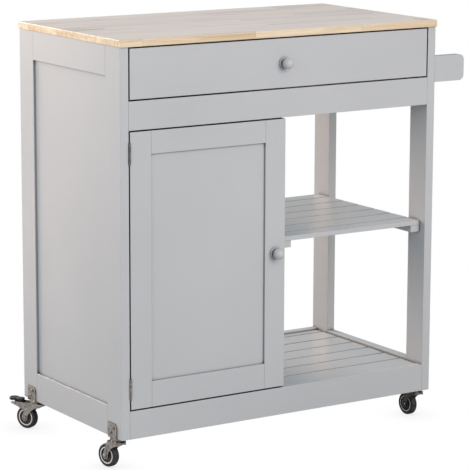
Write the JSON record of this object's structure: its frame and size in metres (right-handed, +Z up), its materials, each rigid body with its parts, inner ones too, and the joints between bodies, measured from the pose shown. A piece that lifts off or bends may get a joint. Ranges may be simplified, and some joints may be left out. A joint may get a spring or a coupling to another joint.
{
  "type": "kitchen island cart",
  "caption": "Rolling kitchen island cart with a wooden worktop, full-width drawer, panelled door cupboard, open bay with slatted shelves and a side towel rail.",
  "frame": {"origin": "on the floor under the middle of the overall box, casters and towel rail included", "axes": "+Z up; -Y is the front, with the drawer and the door; +X is the end with the open bay and the towel rail"},
  "size_m": [0.9024, 0.49, 0.9],
  "materials": {
    "painted_wood": "satin grey paint over wood",
    "inner_wood": "pale painted or foiled board",
    "worktop_wood": "clear satin lacquer over pale finger-jointed hardwood",
    "zinc_steel": "bright zinc plate",
    "tyre_rubber": "matt black rubber",
    "hub_plastic": "moulded plastic, black-brown",
    "pedal_plastic": "moulded plastic, black",
    "roller_nylon": "white nylon",
    "catch_plastic": "white moulded plastic"
  },
  "bodies": {
    "cabinet": {"top_board": "worktop_wood", "leg_front_left": "painted_wood", "leg_front_right": "painted_wood", "leg_back_left": "painted_wood", "leg_back_right": "painted_wood", "left_top_rail": "painted_wood", "left_bottom_rail": "painted_wood", "left_panel": "painted_wood", "right_top_rail": "painted_wood", "right_bottom_rail": "painted_wood", "drawer_rail": "painted_wood", "base_rail_front": "painted_wood", "base_rail_back": "painted_wood", "back_apron": "painted_wood", "partition": "painted_wood", "back_panel": "inner_wood", "cabinet_floor": "painted_wood", "cabinet_shelf": "painted_wood", "shelf_pins": "zinc_steel", "middle_shelf_slats": "painted_wood", "bottom_shelf_slats": "painted_wood", "shelf_battens": "painted_wood", "runner_channels": "zinc_steel", "hinge_leaves_leg": "zinc_steel", "door_catch": "catch_plastic", "towel_arms": "painted_wood", "towel_bar": "painted_wood", "caster_brackets": "zinc_steel", "caster_screws": "zinc_steel"},
    "drawer": {"drawer_front": "painted_wood", "drawer_side_left": "inner_wood", "drawer_side_right": "inner_wood", "drawer_back": "inner_wood", "drawer_bottom": "inner_wood", "drawer_knob": "painted_wood", "drawer_slides": "zinc_steel"},
    "door": {"door_stile_left": "painted_wood", "door_stile_right": "painted_wood", "door_rail_top": "painted_wood", "door_rail_bottom": "painted_wood", "door_panel": "painted_wood", "door_knob": "painted_wood", "hinge_leaves_door": "zinc_steel", "door_strike": "zinc_steel"},
    "front_roller_pair": {"front_rollers": "roller_nylon"},
    "back_roller_pair": {"back_rollers": "roller_nylon"},
    "caster_front_left": {"caster_fork_front_left": "zinc_steel"},
    "wheel_front_left": {"caster_hub_front_left": "hub_plastic", "caster_tyre_front_left": "tyre_rubber"},
    "caster_front_right": {"caster_fork_front_right": "zinc_steel"},
    "wheel_front_right": {"caster_hub_front_right": "hub_plastic", "caster_tyre_front_right": "tyre_rubber"},
    "caster_back_left": {"caster_fork_back_left": "zinc_steel"},
    "wheel_back_left": {"caster_hub_back_left": "hub_plastic", "caster_tyre_back_left": "tyre_rubber"},
    "brake_left": {"brake_pedal_left": "pedal_plastic"},
    "caster_back_right": {"caster_fork_back_right": "zinc_steel"},
    "wheel_back_right": {"caster_hub_back_right": "hub_plastic", "caster_tyre_back_right": "tyre_rubber"},
    "brake_right": {"brake_pedal_right": "pedal_plastic"}
  },
  "joints": [
    {"name": "drawer_slide", "type": "slide", "parent": "cabinet", "child": "drawer", "axis": [0, -1, 0], "range_m": [0, 0.26]},
    {"name": "door_hinge", "type": "hinge", "parent": "cabinet", "child": "door", "pos_m": [-0.40231, -0.22043, 0.422], "axis": [0, 0, -1], "range_deg": [0, 170]},
    {"name": "front_roller_spin", "type": "hinge", "parent": "cabinet", "child": "front_roller_pair", "pos_m": [-0.02631, -0.18623, 0.798], "axis": [1, 0, 0], "range_deg": [0, 2294]},
    {"name": "back_roller_spin", "type": "hinge", "parent": "drawer", "child": "back_roller_pair", "pos_m": [-0.02631, 0.14377, 0.798], "axis": [1, 0, 0], "range_deg": [0, 2294]},
    {"name": "swivel_front_left", "type": "hinge", "parent": "cabinet", "child": "caster_front_left", "pos_m": [-0.41381, -0.18123, 0.0598], "axis": [0, 0, 1], "continuous": true},
    {"name": "wheel_spin_front_left", "type": "hinge", "parent": "caster_front_left", "child": "wheel_front_left", "pos_m": [-0.42028, -0.15708, 0.025], "axis": [0.9659, 0.2588, 0], "continuous": true},
    {"name": "swivel_front_right", "type": "hinge", "parent": "cabinet", "child": "caster_front_right", "pos_m": [0.36119, -0.18123, 0.0598], "axis": [0, 0, 1], "continuous": true},
    {"name": "wheel_spin_front_right", "type": "hinge", "parent": "caster_front_right", "child": "wheel_front_right", "pos_m": [0.35988, -0.15626, 0.025], "axis": [0.9986, 0.0523, 0], "continuous": true},
    {"name": "swivel_back_left", "type": "hinge", "parent": "cabinet", "child": "caster_back_left", "pos_m": [-0.41381, 0.17477, 0.0598], "axis": [0, 0, 1], "continuous": true},
    {"name": "wheel_spin_back_left", "type": "hinge", "parent": "caster_back_left", "child": "wheel_back_left", "pos_m": [-0.42477, 0.19724, 0.025], "axis": [0.8988, 0.4384, 0], "continuous": true},
    {"name": "brake_left_pivot", "type": "hinge", "parent": "caster_back_left", "child": "brake_left", "pos_m": [-0.4358, 0.21987, 0.05609], "axis": [-0.8988, -0.4384, 0], "range_deg": [0, 7]},
    {"name": "swivel_back_right", "type": "hinge", "parent": "cabinet", "child": "caster_back_right", "pos_m": [0.36119, 0.17477, 0.0598], "axis": [0, 0, 1], "continuous": true},
    {"name": "wheel_spin_back_right", "type": "hinge", "parent": "caster_back_right", "child": "wheel_back_right", "pos_m": [0.35685, 0.19939, 0.025], "axis": [0.9848, 0.1736, 0], "continuous": true},
    {"name": "brake_right_pivot", "type": "hinge", "parent": "caster_back_right", "child": "brake_right", "pos_m": [0.35248, 0.22418, 0.05609], "axis": [-0.9848, -0.1736, 0], "range_deg": [0, 7]}
  ],
  "couplings": [
    {"joint": "front_roller_spin", "follows": "drawer_slide", "rad_per_m": 153.85},
    {"joint": "back_roller_spin", "follows": "drawer_slide", "rad_per_m": 153.85}
  ]
}
